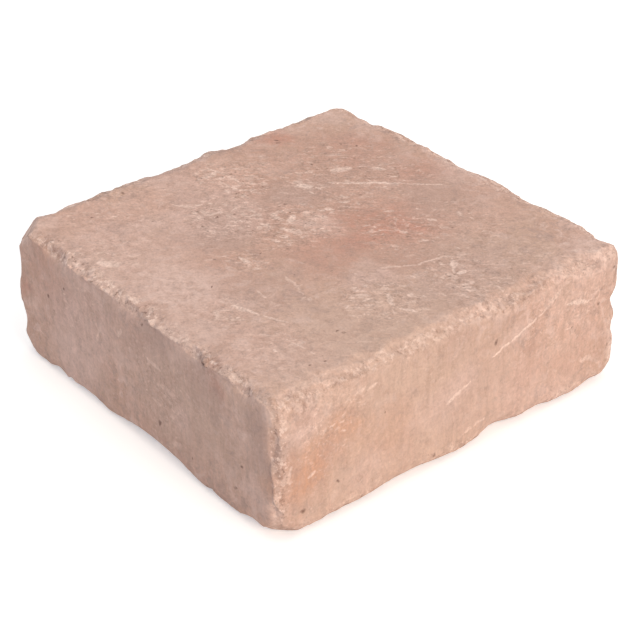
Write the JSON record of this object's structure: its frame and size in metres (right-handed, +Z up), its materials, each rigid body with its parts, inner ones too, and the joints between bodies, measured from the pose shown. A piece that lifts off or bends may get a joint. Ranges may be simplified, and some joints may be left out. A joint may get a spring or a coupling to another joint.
{
  "type": "paving stone",
  "caption": "Square tumbled concrete paving stone with knocked-off arrises and corners, laid on a bed to make a path or a drive.",
  "frame": {"origin": "middle of the bed face, the face that the stone lies on", "axes": "+Z up through the wearing face; X and Y square to the four joint faces"},
  "size_m": [0.17, 0.17, 0.06],
  "materials": {
    "pressed_concrete": "matte"
  },
  "bodies": {
    "root": {"paving_stone": "pressed_concrete"}
  },
  "joints": []
}
